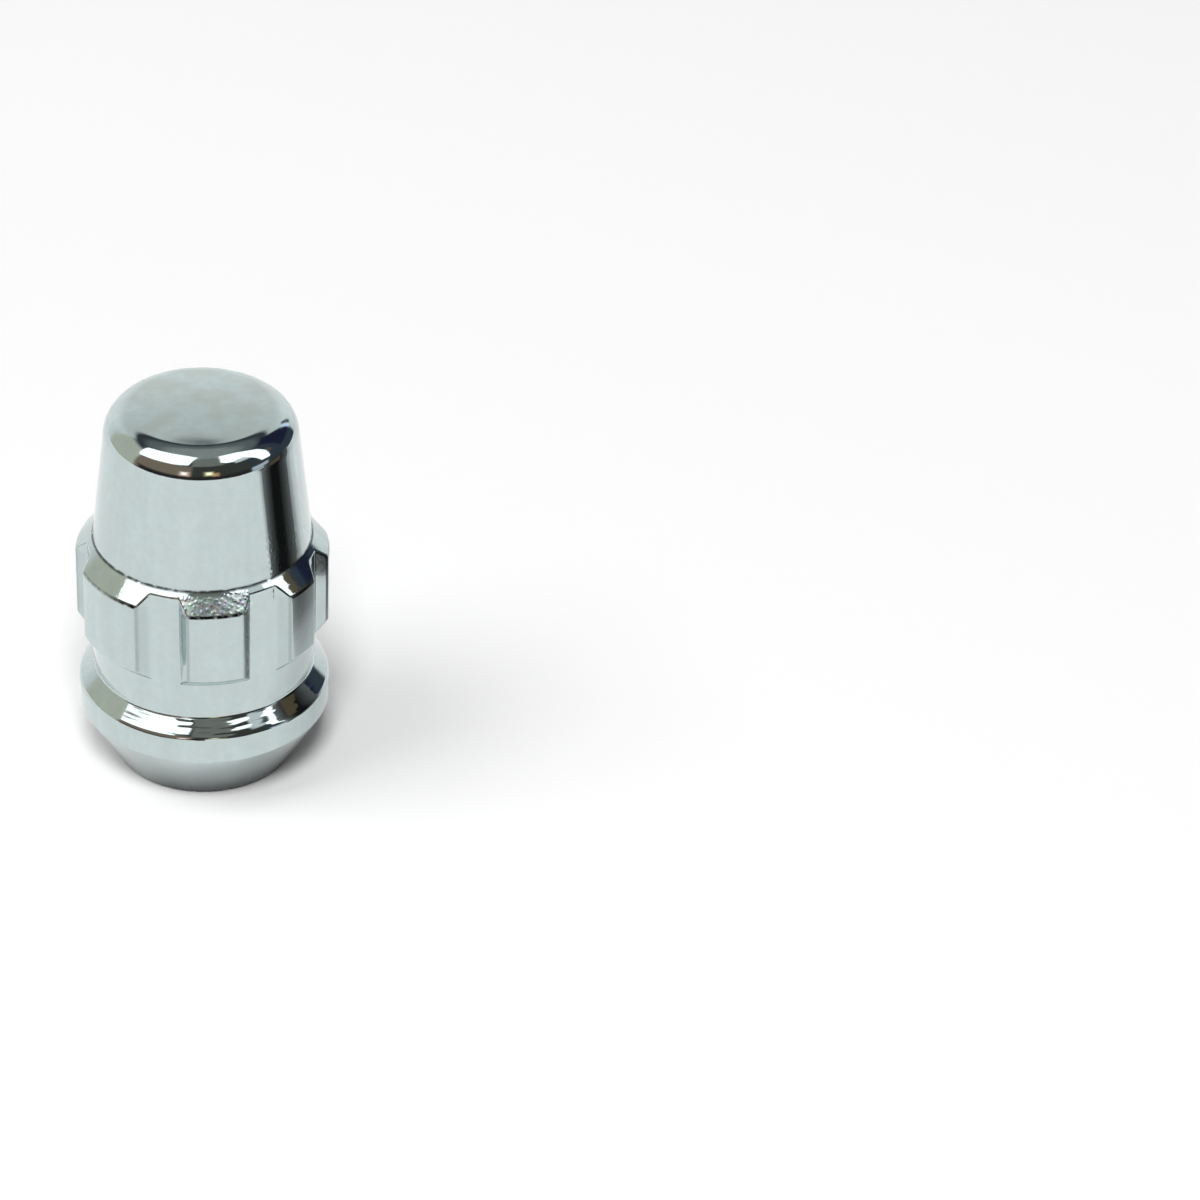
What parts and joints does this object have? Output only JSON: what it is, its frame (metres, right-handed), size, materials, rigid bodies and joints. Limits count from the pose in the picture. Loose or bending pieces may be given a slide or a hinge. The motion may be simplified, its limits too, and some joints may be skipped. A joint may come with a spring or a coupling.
{
  "type": "locking wheel nut",
  "caption": "Closed-end chrome wheel nut with a conical seat, a blind thread and a tapered cap; unevenly spaced key grooves round its middle take only the matching key.",
  "frame": {"origin": "centre of the foot, on the thread's axis and on the plane that the nut stands on", "axes": "+Z along the thread's axis from the foot to the crown; -Y is the side that faces the camera in the picture; +X to the right"},
  "size_m": [0.023, 0.023, 0.037],
  "materials": {
    "chrome_plate": "bright chrome plate on a steel forging, slightly pitted"
  },
  "bodies": {
    "root": {"locking_wheel_nut": "chrome_plate"}
  },
  "joints": []
}
